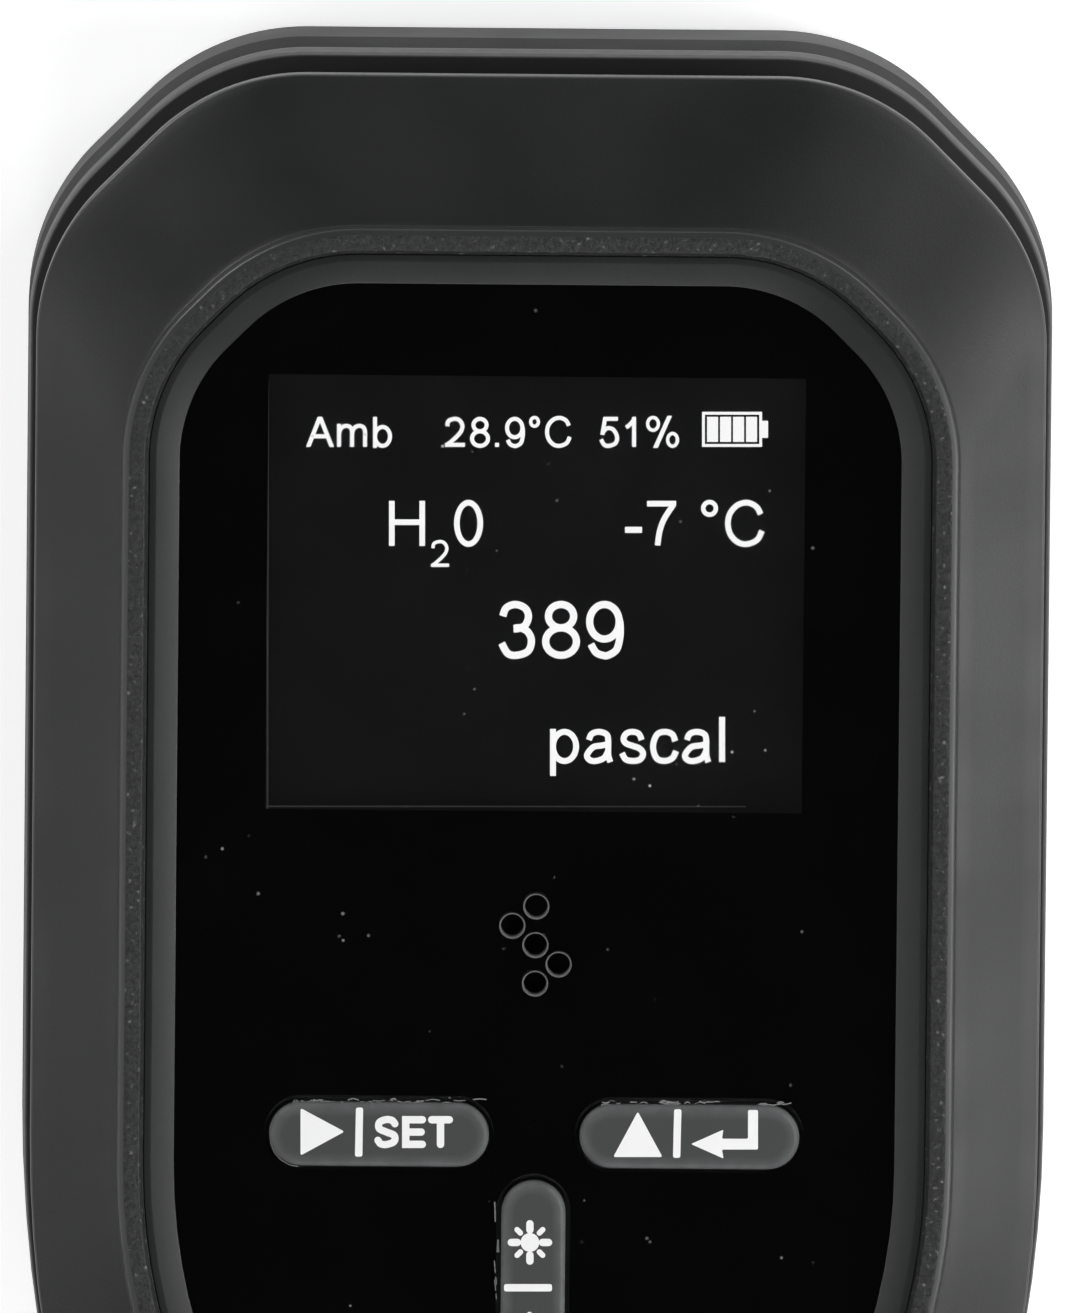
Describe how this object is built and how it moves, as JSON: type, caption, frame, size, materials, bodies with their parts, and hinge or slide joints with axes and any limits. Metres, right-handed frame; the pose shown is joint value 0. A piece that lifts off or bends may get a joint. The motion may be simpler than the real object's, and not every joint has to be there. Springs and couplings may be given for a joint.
{
  "type": "digital vacuum gauge",
  "caption": "Handheld digital vacuum gauge: black moulded housing with a lens, a display, rubber keys and a brass swivel port at its lower end.",
  "frame": {"origin": "middle of the underside of the gauge's bounding box, with the gauge lying on its back", "axes": "+X across the gauge to the right of its face, +Y towards its top end, +Z out of its face"},
  "size_m": [0.0672, 0.1332, 0.0266],
  "materials": {
    "housing": "fine moulded texture, satin",
    "bezel": "smooth satin",
    "lens": "high gloss",
    "foam": "matt",
    "seal_rubber": "satin",
    "key_rubber": "satin",
    "carbon": "matt",
    "board": "solder mask",
    "component": "matt",
    "steel": "bright plated",
    "brass": "turned",
    "copper": "pressed",
    "cell": "wrapped"
  },
  "bodies": {
    "housing": {"front_shell": "housing", "rear_shell": "housing", "battery_door": "housing", "lens_frame": "bezel", "lens_panel": "lens", "display_glass": "lens", "lens_tape": "foam", "shell_seal": "seal_rubber", "keypad_mat": "seal_rubber", "port_seal": "seal_rubber", "main_board": "board", "sensor_board": "board", "processor": "component", "ambient_sensor": "component", "buzzer": "component", "sensor_header": "component", "display_tray": "steel", "vacuum_sensor": "steel", "snap_ring": "steel", "door_screw": "steel", "case_screw_top_left": "steel", "case_screw_top_right": "steel", "case_screw_low_left": "steel", "case_screw_low_right": "steel", "contact_top_pair": "steel", "contact_top_single": "steel", "contact_low_single": "steel", "contact_low_pair": "steel", "battery_spring_1": "steel", "battery_spring_2": "steel", "battery_spring_3": "steel", "battery_1": "cell", "battery_2": "cell", "battery_3": "cell", "port_body": "brass", "core_pin": "brass", "flare_washer": "copper"},
    "nut": {"swivel_nut": "brass"},
    "set_key": {"key_set": "key_rubber", "key_contact_set": "carbon"},
    "enter_key": {"key_enter": "key_rubber", "key_contact_enter": "carbon"},
    "light_key": {"key_light": "key_rubber", "key_contact_light": "carbon"}
  },
  "joints": [
    {"name": "nut_swivel", "type": "hinge", "parent": "housing", "child": "nut", "pos_m": [0, -0.0566, 0.0105], "axis": [0, -1, 0], "continuous": true},
    {"name": "set_key_press", "type": "slide", "parent": "housing", "child": "set_key", "axis": [0, 0, -1], "range_m": [0, 0.0007], "stiffness_N_per_m": 1000},
    {"name": "enter_key_press", "type": "slide", "parent": "housing", "child": "enter_key", "axis": [0, 0, -1], "range_m": [0, 0.0007], "stiffness_N_per_m": 1000},
    {"name": "light_key_press", "type": "slide", "parent": "housing", "child": "light_key", "axis": [0, 0, -1], "range_m": [0, 0.0007], "stiffness_N_per_m": 1000}
  ]
}
